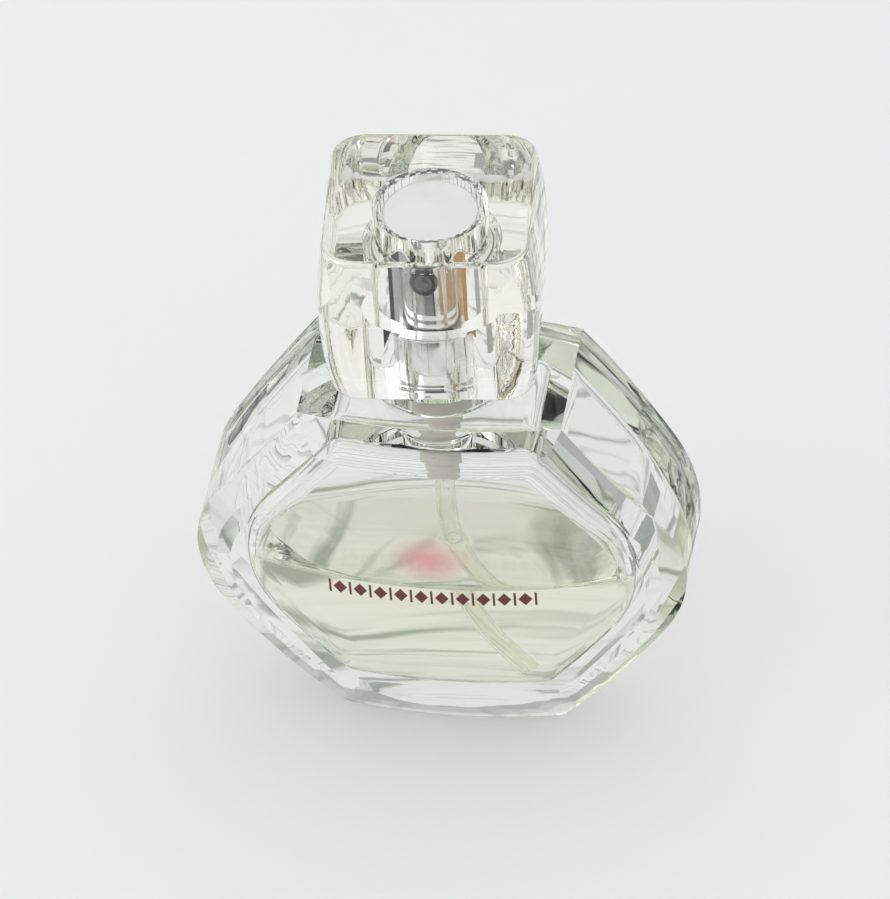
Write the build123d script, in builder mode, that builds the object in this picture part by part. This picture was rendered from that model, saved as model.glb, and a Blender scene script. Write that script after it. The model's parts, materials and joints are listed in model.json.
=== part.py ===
from build123d import *
import math
import os

# Perfume atomiser: a thick glass flacon with a crimped fine-mist pump, a chrome
# actuator and a clear square cap.  Millimetres.  +Z is up, the front faces -Y and
# the origin is the middle of the flat base.

os.makedirs("parts", exist_ok=True)

# ---------------------------------------------------------------- driving sizes
# Glass body: a hexagon seen from the front, between two domed faces.
base_half_width = 12.9
girdle_half_width = 33.1        # where the slanted sides would meet, before rounding
girdle_z = 26.5
girdle_radius = 16.0
shoulder_half_width = 15.5
shoulder_z = 50.5
half_depth = 14.0
dome_radius = 70.0              # front and back are parts of a sphere
dome_z = 33.0                   # height of the deepest point of the domes
bevel_width = 3.8               # band around the front and back faces
bevel_depth = 1.0
facet_width = 1.0               # narrow facet between the bevel and the dome

glass_wall = 5.0
glass_base = 8.6
cavity_half_width = 11.5
cavity_girdle = 26.2
ceiling_thickness = 6.0
cavity_edge = 2.5               # rounding inside the glass

# Neck, the standard 13 mm crimp finish, on a round foot that the collar stands over.
foot_radius = 8.3
foot_top_z = 53.0
neck_radius = 5.7
lip_radius = 6.5
lip_height = 3.1
lip_top_z = 57.6
bore_radius = 3.9

liquid_z = 25.5
liquid_gap = 0.03               # between the liquid and the glass

tube_radius = 1.15
tube_bore = 0.75
tube_bend_radius = 24.0

# Pump stack, from the lip upwards.
gasket_thickness = 0.7
flange_thickness = 0.6
flange_radius = 6.45
ferrule_wall = 0.3
ferrule_radius = 6.86
boss_radius = 4.3
chamber_radius = 2.75
barrel_radius = 3.55
stem_radius = 1.6
stem_bore = 0.55
spring_seat_radius = 2.35       # flange on the stem above the valve spring
spring_seat_thickness = 0.5
valve_head_radius = 2.2
spigot_radius = 1.4             # centres the return spring
spigot_length = 0.8
coil_radius = 2.0               # both springs, to the middle of the wire
return_wire_radius = 0.22
valve_wire_radius = 0.14
tail_radius = 1.95              # socket below the ball chamber
ball_radius = 1.0
ball_chamber_radius = 1.35
ball_chamber_wall = 1.0
seat_hole = 0.6
retainer_thickness = 0.5
retainer_hole = 0.7
running_gap = 0.05              # radial clearance of a sliding or turning fit
seating_gap = 0.03              # between pieces of one body that touch
press_gap = 0.04                # round the collar, the piston's bore and the cap's insert
stem_travel = 3.6

# Collar, actuator and cap.
collar_radius = 7.3
collar_bottom_z = foot_top_z + 0.2
collar_top_z = 63.4
actuator_radius = 5.65
actuator_top_z = 73.4
shell_wall = 0.35
shell_top = 0.37
nozzle_z = 70.3
nozzle_radius = 1.72
cap_bottom_z = 56.0
cap_top_z = 76.5
cap_bottom_half = 11.8
cap_middle_half = 12.7
cap_top_half = 11.9
cap_corner = 4.0
cap_turn = 5.0                  # degrees; the cap grips a round collar at any angle
cap_ceiling_z = 74.4
cap_step_z = 64.3

# Heights that follow from the stack.
flange_z = lip_top_z + gasket_thickness
ferrule_z = flange_z + flange_thickness             # underside of the ferrule's top
actuator_bottom_z = ferrule_z + ferrule_wall + stem_travel + 0.2
boss_top_z = ferrule_z + 2.4
socket_z = boss_top_z + stem_travel + 0.5           # underside of the stem socket
chamber_z = 43.9                                    # floor of the pump chamber
seat_z = 40.45                                      # top of the inlet valve's seat hole
tube_top_z = 39.9
tail_z = 36.5                                       # lower end of the pump body
valve_head_z = 51.7                                 # underside of the stem's valve head
piston_z = 52.9                                     # top of the valve head
piston_top_z = piston_z + 2.5
spring_seat_z = 57.0                                # underside of the stem's flange
closure_z = 57.55                                   # underside of the pump closure
stem_top_z = 69.0


# --------------------------------------------------------------------- outlines
def hexagon(foot, middle, top, radius):
    """Front outline standing on a flat side, with its two girdle corners rounded."""
    with BuildSketch(Plane.XZ) as outline:
        with BuildLine():
            right = [foot, middle, top]
            left = [(-x, z) for x, z in reversed(right)]
            Polyline(*right, *left, close=True)
        make_face()
        corners = outline.vertices().group_by(Axis.X)
        fillet(corners[0] + corners[-1], radius)
    return outline.sketch


def dome_slab(outline, inset):
    """The outline's prism, kept between the two domed faces set back by inset."""
    with BuildPart() as slab:
        extrude(outline, amount=half_depth + 5, both=True)
        for centre_y in (dome_radius - half_depth, half_depth - dome_radius):
            with Locations((0, centre_y, dome_z)):
                Sphere(dome_radius - inset, mode=Mode.INTERSECT)
    return slab.part


def cavity(wall_gap):
    """The hollow inside the glass, smaller by wall_gap all over."""
    outline = hexagon(
        (cavity_half_width - wall_gap, glass_base + wall_gap),
        (cavity_girdle - wall_gap, girdle_z),
        (cavity_half_width - wall_gap, shoulder_z - ceiling_thickness - wall_gap),
        girdle_radius - 2,
    )
    with BuildPart() as hollow:
        add(dome_slab(outline, glass_wall + wall_gap))
        fillet(hollow.edges(), cavity_edge)
    return hollow.part


def turned(points):
    """Solid of revolution about Z from (radius, z) points."""
    with BuildPart() as body:
        with BuildSketch(Plane.XZ) as half:
            with BuildLine():
                Polyline(*points, close=True)
            make_face()
        revolve(half.sketch, axis=Axis.Z)
    return body.part


def coil(bottom_z, top_z, wire_radius, turns):
    """Helical spring whose wire lies between the two heights."""
    height = top_z - bottom_z - 2 * wire_radius
    with BuildPart() as spring:
        with BuildLine() as path:
            Helix(height / turns, height, coil_radius, center=(0, 0, bottom_z + wire_radius))
        with BuildSketch(Plane(origin=path.line @ 0, z_dir=path.line % 0)):
            Circle(wire_radius)
        sweep(path=path.line, is_frenet=True)
    return spring.part


# ----------------------------------------------------------------- glass bottle
with BuildPart() as glass_bottle:
    front_outline = hexagon(
        (base_half_width, 0),
        (girdle_half_width, girdle_z),
        (shoulder_half_width, shoulder_z),
        girdle_radius,
    )
    add(dome_slab(front_outline, 0))
    for side in (0, -1):
        dome = glass_bottle.faces().filter_by(GeomType.SPHERE).sort_by(Axis.Y)[side]
        rim = dome.outer_wire().edges()
        chamfer(rim, length=bevel_width, length2=bevel_depth, reference=dome)
    for side in (0, -1):
        dome = glass_bottle.faces().filter_by(GeomType.SPHERE).sort_by(Axis.Y)[side]
        chamfer(dome.outer_wire().edges(), length=facet_width)
    fillet(glass_bottle.faces().sort_by(Axis.Z)[0].edges(), 0.8)

    # Round foot, and the neck with the undercut that the ferrule is crimped under.
    neck = [
        (0, shoulder_z - 1),
        (foot_radius, shoulder_z - 1),
        (foot_radius, foot_top_z - 0.5),
        (foot_radius - 0.5, foot_top_z),
        (neck_radius, foot_top_z),
        (neck_radius, lip_top_z - lip_height - 0.4),
        (lip_radius, lip_top_z - lip_height),
        (lip_radius, lip_top_z - 0.4),
        (lip_radius - 0.4, lip_top_z),
        (0, lip_top_z),
    ]
    add(turned(neck))
    foot_edge = glass_bottle.edges().filter_by(GeomType.CIRCLE).filter_by_position(
        Axis.Z, shoulder_z - 0.01, shoulder_z + 0.01
    )
    fillet(foot_edge, 0.5)

    add(cavity(0), mode=Mode.SUBTRACT)
    with Locations((0, 0, lip_top_z)):
        Cylinder(
            bore_radius,
            lip_top_z - shoulder_z + ceiling_thickness + 2,
            align=(Align.CENTER, Align.CENTER, Align.MAX),
            mode=Mode.SUBTRACT,
        )
    throat = glass_bottle.edges().filter_by(GeomType.CIRCLE).filter_by_position(
        Axis.Z, shoulder_z - ceiling_thickness - 0.01, shoulder_z - ceiling_thickness + 0.01
    )
    fillet(throat, 1.2)
glass_bottle.part.label = "glass_bottle"
export_step(glass_bottle.part, "parts/glass_bottle.step")

# --------------------------------------------------------------------- dip tube
with BuildPart() as dip_tube:
    with BuildLine() as tube_path:
        FilletPolyline(
            (0, 0, tube_top_z),
            (0, 0, 27.5),
            (3.6, -0.8, 17.5),
            (9.3, -1.9, 10.6),
            radius=[tube_bend_radius, tube_bend_radius],
        )
    with BuildSketch(Plane.XY.offset(tube_top_z)):
        Circle(tube_radius)
        Circle(tube_bore, mode=Mode.SUBTRACT)
    sweep(path=tube_path.line)
dip_tube.part.label = "dip_tube"
export_step(dip_tube.part, "parts/dip_tube.step")

# ---------------------------------------------------------------------- perfume
with BuildPart() as perfume:
    add(cavity(liquid_gap))
    split(bisect_by=Plane.XY.offset(liquid_z), keep=Keep.BOTTOM)
    with BuildSketch(Plane.XY.offset(tube_top_z)):
        Circle(tube_radius + liquid_gap)
    sweep(path=tube_path.line, mode=Mode.SUBTRACT)
perfume.part.label = "perfume"
export_step(perfume.part, "parts/perfume.step")

# ------------------------------------------------------------------ neck gasket
with BuildPart() as neck_gasket:
    with BuildSketch(Plane.XY.offset(lip_top_z)):
        Circle(flange_radius)
        Circle(barrel_radius + running_gap, mode=Mode.SUBTRACT)
    extrude(amount=gasket_thickness)
neck_gasket.part.label = "neck_gasket"
export_step(neck_gasket.part, "parts/neck_gasket.step")

# -------------------------------------------------------------------- pump body
# Chamber, ball chamber with a conical seat, and the socket for the dip tube.
with BuildPart() as pump_body:
    shape = [
        (chamber_radius, ferrule_z),
        (flange_radius, ferrule_z),
        (flange_radius, flange_z),
        (barrel_radius, flange_z),
        (barrel_radius, chamber_z + 0.5),
        (ball_chamber_radius + ball_chamber_wall, chamber_z - 0.8),
        (ball_chamber_radius + ball_chamber_wall, seat_z),
        (tail_radius, seat_z - 0.6),
        (tail_radius, tail_z),
        (tube_radius, tail_z),
        (tube_radius, seat_z - 0.5),
        (seat_hole, seat_z - 0.5),
        (seat_hole, seat_z),
        (ball_chamber_radius, seat_z + ball_chamber_radius - seat_hole),
        (ball_chamber_radius, chamber_z),
        (chamber_radius, chamber_z),
    ]
    add(turned(shape))
pump_body.part.label = "pump_body"
export_step(pump_body.part, "parts/pump_body.step")

# ------------------------------------------------------------------ inlet valve
with BuildPart() as inlet_ball:
    # A ball rests on a 45 degree seat sqrt(2) radii above the seat's apex.
    seat_apex_z = seat_z - seat_hole
    with Locations((0, 0, seat_apex_z + math.sqrt(2) * ball_radius + seating_gap)):
        Sphere(ball_radius)
inlet_ball.part.label = "inlet_ball"
export_step(inlet_ball.part, "parts/inlet_ball.step")

with BuildPart() as ball_retainer:
    with BuildSketch(Plane.XY.offset(chamber_z)):
        Circle(chamber_radius - running_gap)
        Circle(retainer_hole, mode=Mode.SUBTRACT)
    extrude(amount=retainer_thickness)
ball_retainer.part.label = "ball_retainer"
export_step(ball_retainer.part, "parts/ball_retainer.step")

# ---------------------------------------------------------------- stem and seal
with BuildPart() as stem:
    shape = [
        (0, valve_head_z - spigot_length),
        (spigot_radius, valve_head_z - spigot_length),
        (spigot_radius, valve_head_z),
        (valve_head_radius, valve_head_z),
        (valve_head_radius, piston_z - 0.3),
        (valve_head_radius - 0.3, piston_z),
        (stem_radius, piston_z),
        (stem_radius, spring_seat_z),
        (spring_seat_radius, spring_seat_z),
        (spring_seat_radius, spring_seat_z + spring_seat_thickness),
        (stem_radius, spring_seat_z + spring_seat_thickness),
        (stem_radius, stem_top_z - 0.3),
        (stem_radius - 0.3, stem_top_z),
        (stem_bore, stem_top_z),
        (stem_bore, piston_z + 0.4),
        (0, piston_z + 0.4),
    ]
    add(turned(shape))
    # Outlet port, covered by the piston until the piston lifts.
    with Locations(Location((0, 0, piston_z + 0.75), (0, 90, 0))):
        Cylinder(0.3, 2 * stem_radius + 0.2, mode=Mode.SUBTRACT)
stem.part.label = "stem"
export_step(stem.part, "parts/stem.step")

with BuildPart() as piston:
    outer = chamber_radius - seating_gap
    inner = stem_radius + press_gap
    bottom = piston_z + 0.02
    top = piston_top_z
    shape = [
        (inner, bottom),
        (outer - 0.3, bottom),
        (outer, bottom + 0.3),
        (outer, bottom + 0.7),
        (outer - 0.25, bottom + 0.95),
        (outer - 0.25, top - 0.95),
        (outer, top - 0.7),
        (outer, top - 0.2),
        (outer - 0.2, top),
        (inner, top),
    ]
    add(turned(shape))
piston.part.label = "piston"
export_step(piston.part, "parts/piston.step")

with BuildPart() as return_spring:
    add(coil(chamber_z + retainer_thickness, valve_head_z, return_wire_radius, 5.5))
return_spring.part.label = "return_spring"
export_step(return_spring.part, "parts/return_spring.step")

with BuildPart() as valve_spring:
    add(coil(piston_top_z, spring_seat_z, valve_wire_radius, 3))
valve_spring.part.label = "valve_spring"
export_step(valve_spring.part, "parts/valve_spring.step")

# ------------------------------------------------------------- closure and seal
seal_z = boss_top_z - 0.8
closure_radius = boss_radius - ferrule_wall - running_gap
with BuildPart() as pump_closure:
    shape = [
        (stem_radius + running_gap, closure_z),
        (chamber_radius - seating_gap, closure_z),
        (chamber_radius - seating_gap, ferrule_z),
        (closure_radius, ferrule_z),
        (closure_radius, seal_z),
        (stem_radius + running_gap, seal_z),
    ]
    add(turned(shape))
pump_closure.part.label = "pump_closure"
export_step(pump_closure.part, "parts/pump_closure.step")

with BuildPart() as stem_seal:
    with BuildSketch(Plane.XY.offset(seal_z)):
        Circle(closure_radius)
        Circle(stem_radius + 0.02, mode=Mode.SUBTRACT)
    extrude(amount=boss_top_z - ferrule_wall - seal_z)
stem_seal.part.label = "stem_seal"
export_step(stem_seal.part, "parts/stem_seal.step")

# ---------------------------------------------------------------------- ferrule
# Crimped aluminium cup: boss around the closure, skirt around the lip, curl under it.
curl_z = lip_top_z - lip_height - 0.3
curl_depth = 0.5
stem_hole = 2.1
with BuildPart() as ferrule:
    skirt = ferrule_radius - ferrule_wall
    boss_bore = boss_radius - ferrule_wall
    top = ferrule_z + ferrule_wall
    shape = [
        (stem_hole, boss_top_z),
        (boss_radius - 0.3, boss_top_z),
        (boss_radius, boss_top_z - 0.3),
        (boss_radius, top),
        (ferrule_radius - 0.3, top),
        (ferrule_radius, top - 0.3),
        (ferrule_radius, curl_z - curl_depth),
        (neck_radius + 0.3, curl_z - curl_depth),
        (neck_radius + 0.3, curl_z),
        (skirt, curl_z),
        (skirt, ferrule_z),
        (boss_bore, ferrule_z),
        (boss_bore, boss_top_z - ferrule_wall),
        (stem_hole, boss_top_z - ferrule_wall),
    ]
    add(turned(shape))
ferrule.part.label = "ferrule"
export_step(ferrule.part, "parts/ferrule.step")

# ----------------------------------------------------------------------- collar
with BuildPart() as collar:
    wall = collar_radius - ferrule_radius - press_gap
    rim = 0.5
    rim_radius = actuator_radius + 0.6
    shape = [
        (collar_radius - wall, collar_bottom_z),
        (collar_radius, collar_bottom_z),
        (collar_radius, collar_top_z),
        (rim_radius, collar_top_z),
        (rim_radius, collar_top_z - rim),
        (collar_radius - wall, collar_top_z - rim),
    ]
    add(turned(shape))
    outside = collar.edges().filter_by(GeomType.CIRCLE).group_by(SortBy.RADIUS)[-1]
    fillet(outside.sort_by(Axis.Z)[-1], 0.6)
    fillet(collar.edges().filter_by(GeomType.CIRCLE).sort_by(Axis.Z)[0], 0.15)
collar.part.label = "collar"
export_step(collar.part, "parts/collar.step")

# --------------------------------------------------------------------- actuator
nozzle_axis = Plane(origin=(0, 0, nozzle_z), x_dir=(1, 0, 0), z_dir=(0, -1, 0))
core_radius = actuator_radius - shell_wall - seating_gap
core_wall = 0.75
hub_radius = 2.7
feed_radius = 0.3
feed_rise = 1.4                 # feed channel above the nozzle's axis
pin_radius = 1.05
pocket_radius = nozzle_radius + seating_gap
pocket_y = 3.4                  # from the axis to the floor of the nozzle's pocket
with BuildPart() as actuator_core:
    core_top_z = actuator_top_z - 0.4
    shape = [
        (0, core_top_z),
        (core_radius, core_top_z),
        (core_radius, actuator_bottom_z + 1.0),
        (core_radius - core_wall, actuator_bottom_z + 1.0),
        (core_radius - core_wall, core_top_z - 1.4),
        (hub_radius, core_top_z - 1.4),
        (hub_radius, socket_z),
        (stem_radius + running_gap, socket_z),
        (stem_radius + running_gap, stem_top_z + 0.2),
        (0.5, stem_top_z + 0.2),
        (0.5, nozzle_z + 1.7),
        (0, nozzle_z + 1.7),
    ]
    add(turned(shape))
    # Boss behind the nozzle, its pocket with a centre pin, and the feed channel.
    with BuildSketch(nozzle_axis.offset(2.2)):
        Circle(pocket_radius + 0.6)
    extrude(amount=2.4)
    with BuildSketch(nozzle_axis.offset(pocket_y)):
        Circle(pocket_radius)
        Circle(pin_radius, mode=Mode.SUBTRACT)
    extrude(amount=3, mode=Mode.SUBTRACT)
    with BuildSketch(nozzle_axis.offset(4.9)):
        Circle(pocket_radius)
    extrude(amount=2, mode=Mode.SUBTRACT)
    with BuildSketch(nozzle_axis):
        with Locations((0, feed_rise)):
            Circle(feed_radius)
    extrude(amount=pocket_y + 0.1, mode=Mode.SUBTRACT)
actuator_core.part.label = "actuator_core"
export_step(actuator_core.part, "parts/actuator_core.step")

with BuildPart() as actuator_shell:
    inner = actuator_radius - shell_wall
    shape = [
        (0, actuator_top_z),
        (actuator_radius, actuator_top_z),
        (actuator_radius, actuator_bottom_z),
        (inner, actuator_bottom_z),
        (inner, actuator_top_z - shell_top),
        (0, actuator_top_z - shell_top),
    ]
    add(turned(shape))
    fillet(actuator_shell.edges().filter_by(GeomType.CIRCLE).sort_by(Axis.Z)[-1], 0.35)
    with BuildSketch(nozzle_axis):
        Circle(nozzle_radius + 0.08)         # clear of the insert
    extrude(amount=actuator_radius + 1, mode=Mode.SUBTRACT)
actuator_shell.part.label = "actuator_shell"
export_step(actuator_shell.part, "parts/actuator_shell.step")

# Swirl cup pushed over the pin: conical mouth and a fine orifice in front.
swirl_depth = 1.6
orifice_radius = 0.16
with BuildPart() as nozzle_insert:
    back = pocket_y + 0.05
    front = actuator_radius + 0.12
    with BuildSketch(nozzle_axis.offset(back)):
        Circle(nozzle_radius)
    extrude(amount=front - back)
    fillet(nozzle_insert.edges().filter_by(GeomType.CIRCLE).sort_by(Axis.Y)[0], 0.2)
    with BuildSketch(nozzle_axis.offset(back)):
        Circle(pin_radius + 0.05)
    extrude(amount=swirl_depth, mode=Mode.SUBTRACT)
    with BuildSketch(nozzle_axis.offset(back)):
        Circle(orifice_radius)
    extrude(amount=front, mode=Mode.SUBTRACT)
    mouth = nozzle_insert.edges().filter_by(GeomType.CIRCLE).sort_by(Axis.Y)
    mouth = mouth.filter_by(lambda edge: edge.radius < 2 * orifice_radius)[0]
    chamfer(mouth, 0.45)
nozzle_insert.part.label = "nozzle_insert"
export_step(nozzle_insert.part, "parts/nozzle_insert.step")

# -------------------------------------------------------------------------- cap
cap_middle_z = (cap_bottom_z + cap_top_z) / 2


def cap_profile(plane):
    """Side view of the cap: flat top and bottom, sides bowed slightly outwards."""
    with BuildSketch(plane) as view:
        with BuildLine():
            for side in (-1, 1):
                ThreePointArc(
                    (side * cap_bottom_half, cap_bottom_z),
                    (side * cap_middle_half, cap_middle_z),
                    (side * cap_top_half, cap_top_z),
                )
            Line((-cap_bottom_half, cap_bottom_z), (cap_bottom_half, cap_bottom_z))
            Line((-cap_top_half, cap_top_z), (cap_top_half, cap_top_z))
        make_face()
    return view.sketch


cap_bore = 8.1
cap_tube_bore = 6.75
with BuildPart() as cap:
    extrude(cap_profile(Plane.XZ), amount=cap_middle_half + 2, both=True)
    extrude(cap_profile(Plane.YZ), amount=cap_middle_half + 2, both=True, mode=Mode.INTERSECT)
    uprights = cap.edges().filter_by(
        lambda edge: edge.bounding_box().size.Z > (cap_top_z - cap_bottom_z) / 2
    )
    fillet(uprights, cap_corner)
    fillet(cap.faces().sort_by(Axis.Z)[-1].edges(), 0.7)
    fillet(cap.faces().sort_by(Axis.Z)[0].edges(), 0.4)
    with BuildSketch(Plane.XY.offset(cap_bottom_z)):
        Circle(cap_bore)
    extrude(amount=cap_step_z - cap_bottom_z, mode=Mode.SUBTRACT)
    with BuildSketch(Plane.XY.offset(cap_step_z)):
        Circle(cap_tube_bore)
    extrude(amount=cap_ceiling_z - cap_step_z, mode=Mode.SUBTRACT)
cap.part = Rot(0, 0, cap_turn) * cap.part
cap.part.label = "cap"
export_step(cap.part, "parts/cap.step")

# Insert inside the cap: its lower sleeve grips the collar, its upper tube clears the
# actuator, and short ribs ring the closed end.
grip_radius = collar_radius + running_gap
liner_top_z = cap_ceiling_z - 0.5
rib_depth = 0.3
rib_root = 0.1                  # how far a rib is sunk into the wall that it ends on
grip_rib_width = 0.7
grip_rib_start = 1.0
end_rib_width = 0.45
end_rib_height = 2.0
with BuildPart() as cap_liner:
    tube_outer = cap_tube_bore - press_gap
    tube_inner = actuator_radius + 0.45
    sleeve_outer = cap_bore - press_gap
    sleeve_inner = grip_radius + 0.2
    sleeve_z = cap_bottom_z + 0.3
    seat_on_collar_z = collar_top_z + 0.05
    shape = [
        (0, cap_ceiling_z - press_gap),
        (tube_outer, cap_ceiling_z - press_gap),
        (tube_outer, cap_step_z - press_gap),
        (sleeve_outer, cap_step_z - press_gap),
        (sleeve_outer, sleeve_z),
        (sleeve_inner, sleeve_z),
        (sleeve_inner, seat_on_collar_z),
        (tube_inner, seat_on_collar_z),
        (tube_inner, liner_top_z),
        (0, liner_top_z),
    ]
    add(turned(shape))
    grip_ribs = 16
    with BuildSketch(Plane.XY.offset(sleeve_z + grip_rib_start)):
        with PolarLocations(grip_radius + rib_depth / 2, grip_ribs):
            Rectangle(rib_depth, grip_rib_width)
    extrude(amount=seat_on_collar_z - sleeve_z - grip_rib_start + rib_root)
    end_ribs = 36
    with BuildSketch(Plane.XY.offset(liner_top_z - end_rib_height)):
        with PolarLocations(tube_inner, end_ribs):
            Rectangle(rib_depth, end_rib_width)
    extrude(amount=end_rib_height + rib_root)
cap_liner.part.label = "cap_liner"
export_step(cap_liner.part, "parts/cap_liner.step")
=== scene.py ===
"""Looks of the perfume atomiser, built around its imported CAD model. Lengths are in metres."""
import json
import math

import bpy
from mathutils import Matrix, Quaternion, Vector
from mathutils.geometry import tessellate_polygon


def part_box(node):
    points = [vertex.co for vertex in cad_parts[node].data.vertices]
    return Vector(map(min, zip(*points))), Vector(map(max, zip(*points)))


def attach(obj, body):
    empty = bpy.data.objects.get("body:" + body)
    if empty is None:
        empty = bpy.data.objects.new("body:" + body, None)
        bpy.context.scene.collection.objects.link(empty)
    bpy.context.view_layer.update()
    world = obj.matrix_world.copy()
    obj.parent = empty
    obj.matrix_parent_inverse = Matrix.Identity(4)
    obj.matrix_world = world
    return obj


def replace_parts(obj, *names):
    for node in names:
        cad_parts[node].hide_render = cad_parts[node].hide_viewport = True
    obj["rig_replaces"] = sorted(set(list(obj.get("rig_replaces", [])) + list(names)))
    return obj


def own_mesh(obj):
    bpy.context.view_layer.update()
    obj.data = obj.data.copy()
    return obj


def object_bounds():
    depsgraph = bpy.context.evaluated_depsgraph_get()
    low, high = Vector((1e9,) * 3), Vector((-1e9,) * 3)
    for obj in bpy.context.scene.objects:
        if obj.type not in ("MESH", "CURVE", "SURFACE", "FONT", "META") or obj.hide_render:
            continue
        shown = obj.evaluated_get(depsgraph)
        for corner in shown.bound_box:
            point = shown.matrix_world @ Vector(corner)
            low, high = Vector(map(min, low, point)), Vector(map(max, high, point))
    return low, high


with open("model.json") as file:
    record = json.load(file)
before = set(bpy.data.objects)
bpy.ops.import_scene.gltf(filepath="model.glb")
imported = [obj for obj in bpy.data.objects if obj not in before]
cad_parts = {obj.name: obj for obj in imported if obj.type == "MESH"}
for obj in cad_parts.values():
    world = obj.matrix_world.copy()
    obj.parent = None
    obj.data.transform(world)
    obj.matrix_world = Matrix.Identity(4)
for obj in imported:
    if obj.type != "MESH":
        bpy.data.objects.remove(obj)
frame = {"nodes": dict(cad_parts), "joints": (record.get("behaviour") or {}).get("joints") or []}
CAD_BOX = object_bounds()
MM = 0.001
UP = Vector((0, 0, 1))

# ------------------------------------------------------------------ driving sizes
CAMERA_AZIMUTH = 11.0
CAMERA_ELEVATION = 41.0
CAMERA_DISTANCE = 1.09
CAMERA_LENS = 372.0
CAMERA_ROLL = -3.5              # degrees; the bottle's top leans to the left in view

LIQUID_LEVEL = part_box("perfume")[1].z
WALL_RISE = 0.9 * MM            # how far the liquid climbs the glass,
WALL_REACH = 2.2 * MM           # and how far from the glass it is flat
TUBE_RISE = 0.45 * MM           # the same round the dip tube
TUBE_REACH = 1.1 * MM
BORE_RISE = 0.3 * MM            # and inside it
BORE_REACH = 0.5 * MM
LIQUID_OVERLAP = 0.02 * MM      # into the glass and the tube

# The dip tube's centreline, as in the CAD model.
TUBE_PATH = [
    Vector(point) * MM
    for point in ((0, 0, 39.9), (0, 0, 27.5), (3.6, -0.8, 17.5), (9.3, -1.9, 10.6))
]

RETURN_WIRE = 0.22 * MM         # wire radii of the springs
VALVE_WIRE = 0.14 * MM
CLOSED_TURNS = 0.8              # wire lying flat on itself at each end of a spring

# Front dome of the glass: part of a sphere.
DOME_RADIUS = 70 * MM
DOME_HEIGHT = 33 * MM
FRONT_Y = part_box("glass_bottle")[0].y

INK_BACK, INK_FRONT = 0.015 * MM, 0.035 * MM    # distances of the ink's two skins from the glass
MOTIF_COUNT = 21
MOTIF_PITCH = 1.22 * MM
MOTIF_Z = 27.2 * MM
MOTIF_HALF_HEIGHT = 1.05 * MM
BAR_HALF_WIDTH = 0.14 * MM
LOZENGE_HALF_WIDTH = 0.82 * MM
ROSE_Z = 33.2 * MM
ROSE_HALF_WIDTH = 4.9 * MM
ROSE_HALF_HEIGHT = 3.6 * MM

WELD_STEP = 0.0002 * MM         # corners closer than this become one vertex
LEVEL_ERROR = 1e-5 * MM         # rounding of a point that was cut at a level

FLOOR_HALF = 3.0
FLOOR_Z = -0.02 * MM
STREAKS_HALF = 200 * MM
STREAKS_Z = -0.01 * MM
CARDS_RING = (58 * MM, 98 * MM)     # inner and outer radius of the front cards
CARDS_Z = 0.2 * MM


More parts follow.
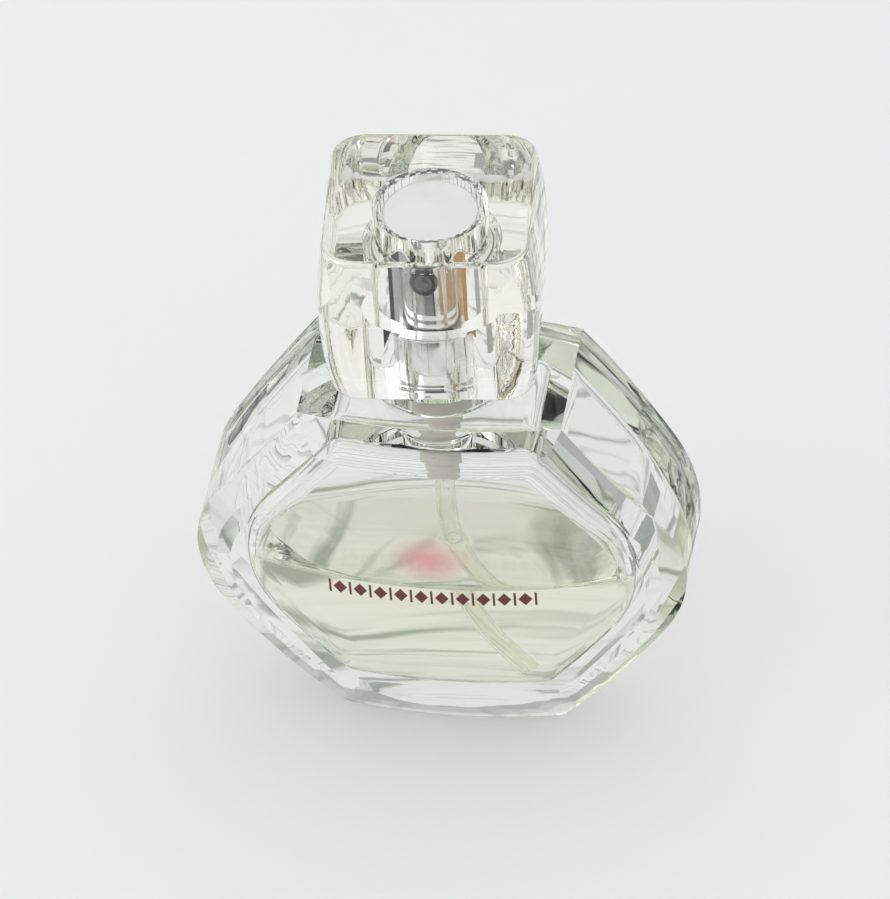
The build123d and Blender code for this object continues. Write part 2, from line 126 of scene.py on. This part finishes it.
# ---------------------------------------------------------------------- node tools
class Finish:
    """A procedural material: a Principled shader and the nodes that feed it."""

    def __init__(self, name, **constants):
        self.material = bpy.data.materials.new(name)
        self.material.use_nodes = True
        self.tree = self.material.node_tree
        self.tree.nodes.clear()
        self.output = self.tree.nodes.new("ShaderNodeOutputMaterial")
        self.shader = self.node("ShaderNodeBsdfPrincipled", **constants)
        self.join(self.shader.outputs["BSDF"], self.output.inputs["Surface"])
        self.place = self.node("ShaderNodeTexCoord").outputs["Object"]

    def node(self, kind, **constants):
        made = self.tree.nodes.new(kind)
        for name, value in constants.items():
            made.inputs[name.replace("_", " ")].default_value = value
        return made

    def join(self, source, target):
        self.tree.links.new(source, target)

    def noise(self, size, detail=3.0, stretch=(1, 1, 1), distortion=0.0):
        """Noise from 0 to 1 whose blotches are about size across."""
        mapping = self.node("ShaderNodeMapping", Scale=stretch)
        self.join(self.place, mapping.inputs["Vector"])
        noise = self.node("ShaderNodeTexNoise", Scale=1 / size, Detail=detail, Distortion=distortion)
        self.join(mapping.outputs[0], noise.inputs["Vector"])
        return noise.outputs["Fac"]

    def vector(self, operation, source, other=(0, 0, 0)):
        made = self.node("ShaderNodeVectorMath")
        made.operation = operation
        made.inputs[1].default_value = other
        self.join(source, made.inputs[0])
        return made.outputs["Value" if operation == "LENGTH" else "Vector"]

    def number(self, operation, first, second):
        made = self.node("ShaderNodeMath")
        made.operation = operation
        self.join(first, made.inputs[0])
        self.join(second, made.inputs[1])
        return made.outputs[0]

    def reach(self, origin=(0, 0, 0), scale=(1, 1, 1)):
        """Distance from origin with each axis scaled, so that a 0 leaves that axis out."""
        offset = self.vector("SUBTRACT", self.place, origin)
        return self.vector("LENGTH", self.vector("MULTIPLY", offset, scale))

    def spread(self, source, low, high, start=0.3, end=0.7):
        """source from start to end, as a number from low to high."""
        ranged = self.node("ShaderNodeMapRange")
        for socket, value in zip(ranged.inputs[1:5], (start, end, low, high)):
            socket.default_value = value
        self.join(source, ranged.inputs[0])
        return ranged.outputs[0]

    def blend(self, share, first, second):
        """first where share is 0, second where it is 1. Each is a colour or a socket."""
        mix = self.tree.nodes.new("ShaderNodeMix")
        mix.data_type = "RGBA"
        self.join(share, mix.inputs["Factor"])
        for socket, colour in ((mix.inputs[6], first), (mix.inputs[7], second)):
            if isinstance(colour, tuple):
                socket.default_value = (*colour, 1)
            else:
                self.join(colour, socket)
        return mix.outputs[2]

    def colour(self, source):
        self.join(source, self.shader.inputs["Base Color"])

    def roughness(self, source):
        self.join(source, self.shader.inputs["Roughness"])

    def relief(self, source, depth):
        """Bump of that depth, added to any bump there is."""
        bump = self.node("ShaderNodeBump", Strength=1.0, Distance=depth)
        self.join(source, bump.inputs["Height"])
        normal = self.shader.inputs["Normal"]
        if normal.is_linked:
            self.join(normal.links[0].from_socket, bump.inputs["Normal"])
        self.join(bump.outputs[0], normal)

    def let_lamps_through(self, share):
        """Lamplight crosses the surface, so what stands inside and behind it isn't in its shadow."""
        path = self.node("ShaderNodeLightPath")
        through = self.node("ShaderNodeBsdfTransparent", Color=(share, share, share, 1))
        mix = self.node("ShaderNodeMixShader")
        self.join(path.outputs["Is Shadow Ray"], mix.inputs[0])
        self.join(self.shader.outputs[0], mix.inputs[1])
        self.join(through.outputs[0], mix.inputs[2])
        self.join(mix.outputs[0], self.output.inputs["Surface"])

    def absorb(self, tint, density):
        volume = self.node("ShaderNodeVolumeAbsorption", Color=(*tint, 1), Density=density)
        self.join(volume.outputs[0], self.output.inputs["Volume"])


# ----------------------------------------------------------------------- materials
def clear(name, ior, body, tint, density, wave, wave_size, grain):
    """Clear glass or plastic: slow waves from the mould, and a faint uneven polish.

    body tints all light that crosses it, and tint and density what goes through thick stretches.
    """
    made = Finish(name, Transmission_Weight=1.0, IOR=ior, Base_Color=(*body, 1))
    made.roughness(made.spread(made.noise(6 * MM, 4), 0.0, grain))
    made.relief(made.noise(wave_size, 1.0, distortion=0.4), wave)
    made.absorb(tint, density)
    made.let_lamps_through(0.95)
    return made.material


def flint_glass():
    return clear(
        "flint_glass", ior=1.5, body=(0.985, 0.99, 0.98), tint=(0.62, 0.70, 0.60), density=8.0,
        wave=0.03 * MM, wave_size=9 * MM, grain=0.014,
    )


def perfume():
    return clear(
        "perfume_liquid_clear", ior=1.36, body=(0.99, 0.992, 0.94), tint=(0.93, 0.94, 0.30), density=8.0,
        wave=0.003 * MM, wave_size=6 * MM, grain=0.002,
    )


def tube_plastic():
    return clear(
        "tube_polyethylene", ior=1.5, body=(0.98, 0.98, 0.97), tint=(0.86, 0.88, 0.84), density=40.0,
        wave=0.01 * MM, wave_size=2 * MM, grain=0.10,
    )


def acrylic():
    return clear(
        "cap_acrylic", ior=1.49, body=(0.99, 0.99, 0.97), tint=(0.80, 0.80, 0.58), density=9.0,
        wave=0.03 * MM, wave_size=7 * MM, grain=0.010,
    )


def liner():
    return clear(
        "liner_clear", ior=1.49, body=(1, 1, 1), tint=(0.84, 0.86, 0.80), density=20.0,
        wave=0.05 * MM, wave_size=4 * MM, grain=0.06,
    )


def moulded(name, dark, light, low, high, **constants):
    """Injection-moulded plastic with a fine eroded skin, its roughness from low to high."""
    made = Finish(name, IOR=1.49, **constants)
    made.colour(made.blend(made.noise(3 * MM), dark, light))
    made.roughness(made.spread(made.noise(0.5 * MM, 4), low, high))
    made.relief(made.noise(0.16 * MM, 2), 0.004 * MM)
    return made.material


def white_plastic():
    return moulded("white_moulding", (0.80, 0.80, 0.78), (0.88, 0.88, 0.86), 0.28, 0.42)


def natural_plastic():
    """Milky moulding that lets some light through."""
    return moulded(
        "natural_moulding", (0.88, 0.85, 0.76), (0.94, 0.91, 0.83), 0.26, 0.40, Transmission_Weight=0.2
    )


def plate(made):
    """Gives a finish a plating's slight haze and slow waves, and returns the plating's colour."""
    made.roughness(made.spread(made.noise(1.5 * MM, 5), 0.03, 0.09))
    made.relief(made.noise(7 * MM, 1.0), 0.015 * MM)
    return made.blend(made.noise(5 * MM), (0.80, 0.81, 0.83), (0.90, 0.90, 0.90))


def chrome():
    """Bright plated metal."""
    made = Finish("plated_chrome", Metallic=1.0)
    made.colour(plate(made))
    made.relief(made.noise(0.12 * MM, 2.0), 0.0006 * MM)
    return made.material


def chrome_with_painted_shade():
    """Plated outside and across the top. Inside the collar's hollow the colour is painted shade, near black
    and not metallic, for the shadow in the gap round the actuator's barrel.
    """
    made = Finish("plated_collar_painted_shade")
    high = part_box("collar")[1]
    height = made.node("ShaderNodeSeparateXYZ")
    made.join(made.place, height.inputs[0])
    outside = made.spread(made.reach(scale=(1, 1, 0)), 0, 1, high.x - 0.20 * MM, high.x - 0.15 * MM)
    top = made.spread(height.outputs["Z"], 0, 1, high.z - 0.10 * MM, high.z - 0.05 * MM)
    # 1 on the plating, 0 inside the hollow, where the near-black colour is painted shade
    plating = made.number("MAXIMUM", outside, top)
    made.colour(made.blend(plating, (0.015, 0.015, 0.017), plate(made)))
    made.join(plating, made.shader.inputs["Metallic"])
    return made.material


def aluminium():
    """Drawn sheet: fine scores run round it."""
    made = Finish("drawn_aluminium", Metallic=1.0)
    scores = made.noise(0.9 * MM, 4, stretch=(0.15, 0.15, 12))
    made.colour(made.blend(scores, (0.66, 0.67, 0.68), (0.82, 0.82, 0.82)))
    made.roughness(made.spread(scores, 0.22, 0.40))
    made.relief(scores, 0.004 * MM)
    return made.material


def steel():
    """Drawn stainless wire."""
    made = Finish("stainless_steel", Metallic=1.0)
    grain = made.noise(0.3 * MM, 4)
    made.colour(made.blend(grain, (0.50, 0.49, 0.47), (0.68, 0.67, 0.65)))
    made.roughness(made.spread(grain, 0.16, 0.34))
    made.relief(grain, 0.002 * MM)
    return made.material


def rubber():
    made = Finish("gasket_rubber_skin", Specular_IOR_Level=0.3)
    made.colour(made.blend(made.noise(0.6 * MM, 5), (0.05, 0.05, 0.05), (0.11, 0.11, 0.10)))
    made.roughness(made.spread(made.noise(0.3 * MM, 3), 0.65, 0.85))
    made.relief(made.noise(0.12 * MM, 3), 0.012 * MM)
    return made.material


def nozzle():
    """Dark acetal, paler in the middle where the swirl insert shows."""
    made = Finish("nozzle_acetal", IOR=1.48)
    low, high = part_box("nozzle_insert")
    middle = (low + high) / 2
    from_middle = made.reach(origin=(middle.x, 0, middle.z), scale=(1, 0, 1))
    ring = made.spread(from_middle, 0, 1, 1.02 * MM, 1.16 * MM)
    speck = made.blend(made.noise(0.5 * MM), (0.13, 0.14, 0.15), (0.22, 0.23, 0.24))
    made.colour(made.blend(ring, speck, (0.012, 0.012, 0.014)))
    made.roughness(made.spread(made.noise(0.3 * MM, 3), 0.22, 0.38))
    made.relief(made.noise(0.15 * MM, 2), 0.003 * MM)
    return made.material


def claret_ink():
    """Screen-printed ink, a little uneven in cover."""
    made = Finish("claret_ink", Specular_IOR_Level=0.4)
    made.colour(made.blend(made.noise(0.35 * MM, 5), (0.13, 0.025, 0.03), (0.20, 0.05, 0.05)))
    made.roughness(made.spread(made.noise(0.5 * MM, 3), 0.35, 0.55))
    made.relief(made.noise(0.2 * MM, 3), 0.003 * MM)
    return made.material


def rose_ink():
    """Ink that fades out from its middle, so the glass shows through."""
    made = Finish("rose_tint", Specular_IOR_Level=0.3, Roughness=0.5)
    from_middle = made.reach(origin=(0, 0, ROSE_Z), scale=(1 / ROSE_HALF_WIDTH, 0, 1 / ROSE_HALF_HEIGHT))
    cover = made.spread(from_middle, 0.42, 0.0, 0.15, 1.0)
    dots = made.spread(made.noise(0.5 * MM, 4), 0.75, 1.0)
    made.join(made.number("MULTIPLY", cover, dots), made.shader.inputs["Alpha"])
    made.colour(made.blend(made.noise(1.2 * MM, 3), (0.80, 0.22, 0.28), (1.0, 0.275, 0.35)))
    return made.material


def floor_finish():
    made = Finish("pale_floor", Specular_IOR_Level=0.0)
    made.colour(made.blend(made.noise(60 * MM, 4), (0.885, 0.887, 0.89), (0.905, 0.905, 0.905)))
    made.roughness(made.spread(made.noise(8 * MM, 4), 0.80, 0.95))
    made.relief(made.noise(1.5 * MM, 3), 0.01 * MM)
    return made.material


def paint_cad_nodes():
    """Gives each CAD node its procedural material."""
    finishes = {
        chrome(): ("actuator_shell",),
        chrome_with_painted_shade(): ("collar",),
        white_plastic(): ("stem", "pump_closure", "actuator_core"),
        natural_plastic(): ("pump_body", "ball_retainer", "piston"),
        rubber(): ("neck_gasket", "stem_seal"),
        steel(): ("inlet_ball",),
        aluminium(): ("ferrule",),
        nozzle(): ("nozzle_insert",),
        flint_glass(): ("glass_bottle",),
        tube_plastic(): ("dip_tube",),
        acrylic(): ("cap",),
        liner(): ("cap_liner",),
    }
    for material, nodes in finishes.items():
        for node in nodes:
            for place in frame["nodes"][node].material_slots:
                place.material = material


# ---------------------------------------------------------------------- mesh tools
def key_of(point):
    return tuple(round(c / WELD_STEP) for c in point)


class Facets:
    """Polygons with a normal at each corner, kept apart until they are welded into a mesh."""

    def __init__(self):
        self.rows = []          # (points, normals)

    def add(self, points, normals):
        self.rows.append((points, normals))

    def weld(self, name, material, swell=0.0):
        """A mesh object whose corners share vertices where they meet, grown all over by swell."""
        places, vertices, faces, normals = {}, [], [], []
        for points, corner_normals in self.rows:
            keys = [key_of(point) for point in points]
            if len(set(keys)) < 3:
                continue
            kept = [k for k in range(len(keys)) if keys[k] != keys[k - 1]]
            for k in kept:
                if keys[k] not in places:
                    places[keys[k]] = len(vertices)
                    vertices.append(points[k])
            faces.append([places[keys[k]] for k in kept])
            normals.extend(corner_normals[k] for k in kept)
        mesh = bpy.data.meshes.new(name)
        mesh.from_pydata(vertices, [], faces)
        if swell:
            moves = [vertex.normal * swell for vertex in mesh.vertices]
            for vertex, move in zip(mesh.vertices, moves):
                vertex.co += move
        mesh.materials.append(material)
        mesh.polygons.foreach_set("use_smooth", [True] * len(faces))
        mesh.normals_split_custom_set(normals)
        made = bpy.data.objects.new(name, mesh)
        bpy.context.scene.collection.objects.link(made)
        return made


def facets_of(node):
    """Points and corner normals of each face of a CAD node."""
    mesh = frame["nodes"][node].data
    corner_normals = mesh.corner_normals
    for face in mesh.polygons:
        points = [mesh.vertices[k].co.copy() for k in face.vertices]
        yield points, [corner_normals[k].vector.copy() for k in face.loop_indices]


def below(points, normals, height):
    """The part of a polygon under a level."""
    kept_points, kept_normals = [], []
    for k in range(len(points)):
        here, there = points[k - 1], points[k]
        if (here.z < height) != (there.z < height):
            share = (height - here.z) / (there.z - here.z)
            kept_points.append(here.lerp(there, share))
            kept_normals.append(normals[k - 1].lerp(normals[k], share).normalized())
        if there.z < height:
            kept_points.append(there)
            kept_normals.append(normals[k])
    return kept_points, kept_normals


def rim_loop(polygons, height):
    """The closed line where polygons cut at a level end, in order round it."""
    following, where = {}, {}
    for points, _ in polygons:
        for k in range(len(points)):
            ends = points[k - 1], points[k]
            if all(abs(end.z - height) < LEVEL_ERROR for end in ends):
                near, far = (key_of(end) for end in ends)
                if near != far:
                    following[near] = far
                    where[near] = ends[0]
    start = next(iter(following))
    loop, key = [where[start]], following[start]
    while key != start:
        loop.append(where[key])
        key = following[key]
    return loop


def across(loop):
    """Level unit normals of a loop, pointing away from its middle."""
    middle = sum(loop, Vector()) / len(loop)
    found = []
    for k in range(len(loop)):
        along = loop[(k + 1) % len(loop)] - loop[k - 1]
        normal = Vector((along.y, -along.x, 0)).normalized()
        found.append(normal if normal.dot(loop[k] - middle) > 0 else -normal)
    return found


def meniscus(facets, loop, rise, reach, inward):
    """The curved edge of the liquid from a wall's contact line to the flat, and the loop there."""
    steps = 9
    crowding = 0.6      # under 1 brings the steps closer together at the wall
    towards = [-n if inward else n for n in across(loop)]
    rings, ring_normals = [], []
    for step in range(steps + 1):
        share = 1 - (1 - step / steps) ** crowding
        drop = rise * (1 - (1 - share) ** 3)
        slope = 3 * rise / reach * (1 - share) ** 2
        rings.append([p + t * reach * share - UP * drop for p, t in zip(loop, towards)])
        ring_normals.append([(UP + t * slope).normalized() for t in towards])
    for k in range(steps):
        for i in range(len(loop)):
            j = (i + 1) % len(loop)
            points = [rings[k][i], rings[k][j], rings[k + 1][j], rings[k + 1][i]]
            normals = [ring_normals[k][i], ring_normals[k][j]]
            normals += [ring_normals[k + 1][j], ring_normals[k + 1][i]]
            facing_up = (points[1] - points[0]).cross(points[2] - points[0]).z > 0
            order = 1 if facing_up else -1
            facets.add(points[::order], normals[::order])
    return rings[-1]


def level_fill(facets, outlines):
    """Flat surface inside the first outline and outside the others."""
    corners = [point for outline in outlines for point in outline]
    for triangle in tessellate_polygon(outlines):
        points = [corners[k] for k in triangle]
        if (points[1] - points[0]).cross(points[2] - points[0]).z < 0:
            points.reverse()
        facets.add(points, [UP] * 3)


# ------------------------------------------------------------------------- liquid
def nearest_on_tube(point):
    """The place on the dip tube's centreline that is nearest to a point."""
    places = []
    for start, end in zip(TUBE_PATH, TUBE_PATH[1:]):
        run = end - start
        share = max(0.0, min(1.0, (point - start).dot(run) / run.length_squared))
        places.append(start + run * share)
    return min(places, key=lambda place: (point - place).length)


def wetted(node, height, belongs):
    """Faces of a CAD node under the liquid, cut off at height, for which belongs(centre, normal) holds."""
    found = []
    for points, normals in facets_of(node):
        part, part_normals = below(points, normals, height)
        if len(part) > 2:
            centre = sum(part, Vector()) / len(part)
            if belongs(centre, sum(part_normals, Vector())):
                found.append((part, part_normals))
    return found


def liquid_fill():
    """The perfume, with its skin just inside the glass and the tube so that light bends as at one surface."""
    contact = LIQUID_LEVEL + WALL_RISE
    tube_contact = LIQUID_LEVEL + TUBE_RISE
    cavity_middle = Vector((0, 0, LIQUID_LEVEL))

    def faces_cavity(centre, normal):
        return normal.dot(cavity_middle - centre) > 0

    def faces_out(centre, normal):
        return normal.dot(centre - nearest_on_tube(centre)) > 0

    def faces_bore(centre, normal):
        return not faces_out(centre, normal)

    walls = wetted("glass_bottle", contact, faces_cavity)
    tube_outside = wetted("dip_tube", tube_contact, faces_out)
    tube_bore = wetted("dip_tube", tube_contact, faces_bore)
    liquid = Facets()
    for part, part_normals in walls + tube_outside + tube_bore:
        liquid.add(part[::-1], [-n for n in part_normals[::-1]])
    wall_loop = rim_loop(walls, contact)
    tube_loop = rim_loop(tube_outside, tube_contact)
    bore_loop = rim_loop(tube_bore, tube_contact)
    wall_flat = meniscus(liquid, wall_loop, WALL_RISE, WALL_REACH, inward=True)
    tube_flat = meniscus(liquid, tube_loop, TUBE_RISE, TUBE_REACH, inward=False)
    bore_flat = meniscus(liquid, bore_loop, BORE_RISE, BORE_REACH, inward=True)
    level_fill(liquid, [wall_flat, tube_flat])
    level_fill(liquid, [bore_flat])
    fill = liquid.weld("perfume_fill", perfume(), swell=LIQUID_OVERLAP)
    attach(fill, "bottle")
    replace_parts(fill, "perfume")


# ------------------------------------------------------------------------- springs
def spring(name, node, turns, wire, body, material):
    """A wound wire with closed ends, as tall and wide as the CAD spring it stands for."""
    low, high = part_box(node)
    radius = (high.x - low.x) / 2 - wire
    steps_per_turn, sides = 40, 14
    steps = round(turns * steps_per_turn)
    closed = CLOSED_TURNS / turns
    span = high.z - low.z - 2 * wire
    end_rise = 2 * wire * CLOSED_TURNS

    def height(share):
        """Closed at both ends, evenly pitched between them."""
        if share < closed:
            climb = end_rise * (share / closed) ** 1.5
        elif share > 1 - closed:
            climb = span - end_rise * ((1 - share) / closed) ** 1.5
        else:
            climb = end_rise + (span - 2 * end_rise) * (share - closed) / (1 - 2 * closed)
        return low.z + wire + climb

    def section(step):
        """Points round the wire, each with its normal."""
        share = step / steps
        angle = 2 * math.pi * turns * share
        outward = Vector((math.cos(angle), math.sin(angle), 0))
        centre = outward * radius + UP * height(share)
        around = []
        for k in range(sides):
            turn = 2 * math.pi * k / sides
            normal = outward * math.cos(turn) + UP * math.sin(turn)
            around.append((centre + normal * wire, normal))
        return around

    sections = [section(step) for step in range(steps + 1)]
    facets = Facets()
    for near, far in zip(sections, sections[1:]):
        for k in range(sides):
            corners = near[k], near[k - 1], far[k - 1], far[k]
            facets.add([point for point, _ in corners], [normal for _, normal in corners])
    for end, beside, order in ((sections[0], sections[1], 1), (sections[-1], sections[-2], -1)):
        outward = (end[0][0] - beside[0][0]).normalized()
        facets.add([point for point, _ in end][::order], [outward] * sides)
    made = facets.weld(name, material)
    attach(made, body)
    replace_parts(made, node)
    return made


def springs():
    wire = steel()
    returning = spring("return_spring_coil", "return_spring", 5.5, RETURN_WIRE, "bottle", wire)
    valve = spring("valve_spring_coil", "valve_spring", 3, VALVE_WIRE, "stem", wire)
    ranges = {joint["name"]: joint.get("range_m") for joint in frame["joints"]}
    for piece, joint in ((returning, "stem_press"), (valve, "piston_lift")):
        node = piece["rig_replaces"][0]
        low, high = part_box(node)
        travel = max(abs(limit) for limit in ranges[joint])
        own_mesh(piece)


# ---------------------------------------------------------------------- decoration
def on_front(x, z, lift):
    """A point on the front dome, lifted off the glass, and the dome's normal there."""
    centre = Vector((0, FRONT_Y + DOME_RADIUS, DOME_HEIGHT))
    depth = math.sqrt(DOME_RADIUS**2 - x**2 - (z - DOME_HEIGHT) ** 2)
    normal = Vector((x, -depth, z - DOME_HEIGHT)) / DOME_RADIUS
    return centre + normal * (DOME_RADIUS + lift), normal


def printed(name, outline, material, columns):
    """A film of ink on the front dome, closed all round.

    outline(share) gives x and the lower and upper z there, for a share of the way from left to right.
    """
    facets = Facets()
    rows = 4

    def grid_point(i, j, lift):
        x, low, high = outline(i / columns)
        return on_front(x, low + (high - low) * j / rows, lift)

    for lift, order in ((INK_FRONT, 1), (INK_BACK, -1)):
        for i in range(columns):
            for j in range(rows):
                square = (i, j), (i + 1, j), (i + 1, j + 1), (i, j + 1)
                corners = [grid_point(*corner, lift) for corner in square][::order]
                facets.add([point for point, _ in corners], [normal * order for _, normal in corners])
    edge = [(i, 0) for i in range(columns)] + [(columns, j) for j in range(rows)]
    edge += [(i, rows) for i in range(columns, 0, -1)] + [(0, j) for j in range(rows, 0, -1)]
    for k in range(len(edge)):
        ends = edge[k - 1], edge[k]
        back = [grid_point(*end, INK_BACK)[0] for end in ends]
        front = [grid_point(*end, INK_FRONT)[0] for end in ends]
        normal = (back[1] - back[0]).cross(front[0] - back[0])
        if normal.length > 0:
            facets.add([back[0], back[1], front[1], front[0]], [normal.normalized()] * 4)
    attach(facets.weld(name, material), "bottle")


def motif(middle, half_width, taper):
    """Outline of a bar, or of a lozenge with a taper of 1."""
    def outline(share):
        along = 2 * share - 1
        half = MOTIF_HALF_HEIGHT * (1 - taper * abs(along))
        return middle + half_width * along, MOTIF_Z - half, MOTIF_Z + half
    return outline


def rose_oval(share):
    """Outline of the rose tint."""
    half = ROSE_HALF_HEIGHT * math.sin(math.pi * share)
    return -ROSE_HALF_WIDTH * math.cos(math.pi * share), ROSE_Z - half, ROSE_Z + half


def decoration():
    """A plain printed ornament: a row of lozenges between slim bars, under a soft rose tint."""
    claret = claret_ink()
    for number in range(MOTIF_COUNT):
        middle = (number - (MOTIF_COUNT - 1) / 2) * MOTIF_PITCH
        if number % 2:
            outline = motif(middle, LOZENGE_HALF_WIDTH, taper=1)
        else:
            outline = motif(middle, BAR_HALF_WIDTH, taper=0)
        printed(f"printed_motif_{number + 1}", outline, claret, 4)
    printed("printed_rose_tint", rose_oval, rose_ink(), 28)


# --------------------------------------------------------------------------- studio
def lay(name, corners, material):
    """A flat piece of the studio, of one face."""
    mesh = bpy.data.meshes.new(name)
    mesh.from_pydata(corners, [], [tuple(range(len(corners)))])
    mesh.materials.append(material)
    made = bpy.data.objects.new(name, mesh)
    bpy.context.scene.collection.objects.link(made)
    return made


def lay_card(name, corners, material):
    """A card on the floor that only glass and gloss see."""
    made = lay(name, corners, material)
    made.visible_camera = made.visible_diffuse = made.visible_shadow = False


def square(half, z):
    return [(-half, -half, z), (half, -half, z), (half, half, z), (-half, half, z)]


def sky():
    """Light from all round, dimmer towards the horizon."""
    world = bpy.data.worlds.new("studio")
    bpy.context.scene.world = world
    world.use_nodes = True
    tree = world.node_tree
    tree.nodes.clear()
    output = tree.nodes.new("ShaderNodeOutputWorld")
    background = tree.nodes.new("ShaderNodeBackground")
    place = tree.nodes.new("ShaderNodeTexCoord")
    split = tree.nodes.new("ShaderNodeSeparateXYZ")
    ramp = tree.nodes.new("ShaderNodeValToRGB")
    ramp.color_ramp.interpolation = "EASE"
    elements = ramp.color_ramp.elements
    elements.remove(elements[1])
    # height from 0 at the horizon to 1 overhead, and the grey there
    for height, grey in ((0.0, 0.46), (0.22, 0.52), (0.45, 0.80), (0.62, 1.0), (1.0, 1.0)):
        element = elements.new(height) if height else elements[0]
        element.color = (grey, grey * 1.005, grey * 1.01, 1)
    tree.links.new(place.outputs["Generated"], split.inputs[0])
    tree.links.new(split.outputs["Z"], ramp.inputs[0])
    tree.links.new(ramp.outputs[0], background.inputs["Color"])
    tree.links.new(background.outputs[0], output.inputs["Surface"])
    background.inputs["Strength"].default_value = 0.93


def key_softbox():
    light = bpy.data.lights.new("key_softbox", "AREA")
    light.shape = "RECTANGLE"
    light.size, light.size_y = 0.5, 0.7
    light.energy = 1.5
    holder = bpy.data.objects.new("key_softbox", light)
    spot = Vector((-0.55, -0.35, 0.75))
    target = Vector((0, 0, 0.04))
    holder.location = spot
    holder.rotation_euler = (target - spot).to_track_quat("-Z", "Y").to_euler()
    bpy.context.scene.collection.objects.link(holder)


def streaked_card():
    """Pale, with faint uneven rings like the light round cut crystal, for the glass to pick up."""
    card = Finish("streaked_card", Roughness=0.9, Specular_IOR_Level=0.1)
    turned = card.node("ShaderNodeTexGradient")
    turned.gradient_type = "RADIAL"
    card.join(card.place, turned.inputs[0])
    polar = card.node("ShaderNodeCombineXYZ")
    card.join(turned.outputs[1], polar.inputs[0])
    card.join(card.reach(), polar.inputs[1])
    mapping = card.node("ShaderNodeMapping", Location=(3.1, 0.7, 0), Scale=(4, 300, 1))
    card.join(polar.outputs[0], mapping.inputs["Vector"])
    noise = card.node("ShaderNodeTexNoise", Scale=1.0, Detail=3.0, Distortion=0.35)
    card.join(mapping.outputs[0], noise.inputs["Vector"])
    rings = card.spread(noise.outputs["Fac"], 0, 1, 0.52, 0.66)
    card.colour(card.blend(rings, (0.94, 0.94, 0.94), (0.36, 0.40, 0.36)))
    lay_card("streaked_card", square(STREAKS_HALF, STREAKS_Z), card.material)


def front_cards():
    """Grey, dark and warm cards round the bottle, whose reflections band the plated barrel and collar."""
    inner, outer = CARDS_RING
    cards = (
        # first and last azimuth in degrees from the front, and the card's shade
        (-76, -58, (0.04, 0.04, 0.045)),
        (-58, -17, (0.32, 0.32, 0.33)),
        (-17, 19, (0.16, 0.165, 0.17)),
        (19, 27, (0.03, 0.03, 0.035)),
        (49, 74, (0.35, 0.19, 0.05)),
        (112, 140, (0.34, 0.36, 0.34)),
    )
    steps = 8
    for number, (first, last, shade) in enumerate(cards):
        card = Finish(f"front_card_{number}", Roughness=0.9, Specular_IOR_Level=0.1)
        card.colour(card.blend(card.noise(20 * MM), shade, tuple(1.3 * c for c in shade)))
        corners = []
        for radius, order in ((inner, 1), (outer, -1)):
            arc = []
            for k in range(steps + 1):
                angle = math.radians(first + (last - first) * k / steps - 90)
                arc.append((radius * math.cos(angle), radius * math.sin(angle), CARDS_Z))
            corners += arc[::order]
        lay_card(f"front_card_{number}", corners, card.material)


def camera():
    low, high = CAD_BOX
    middle = (low + high) / 2
    azimuth, elevation = math.radians(CAMERA_AZIMUTH), math.radians(CAMERA_ELEVATION)
    back = Vector((
        math.sin(azimuth) * math.cos(elevation),
        -math.cos(azimuth) * math.cos(elevation),
        math.sin(elevation),
    ))
    lens = bpy.data.cameras.new("camera")
    lens.lens = CAMERA_LENS
    lens.clip_start, lens.clip_end = 0.05, 50
    made = bpy.data.objects.new("camera", lens)
    made.location = middle + back * CAMERA_DISTANCE
    level = (-back).to_track_quat("-Z", "Y")
    made.rotation_euler = (level @ Quaternion((0, 0, 1), math.radians(CAMERA_ROLL))).to_euler()
    bpy.context.scene.collection.objects.link(made)
    bpy.context.scene.camera = made


def light_paths():
    """Enough bounces for light to get through nested glass."""
    scene = bpy.context.scene
    scene.view_settings.view_transform = "Standard"
    cycles = scene.cycles
    cycles.max_bounces = 32
    cycles.transmission_bounces = 28
    cycles.glossy_bounces = 12
    cycles.transparent_max_bounces = 24


camera()
lay("floor", square(FLOOR_HALF, FLOOR_Z), floor_finish())
sky()
key_softbox()
streaked_card()
front_cards()
light_paths()
paint_cad_nodes()
liquid_fill()
springs()
decoration()
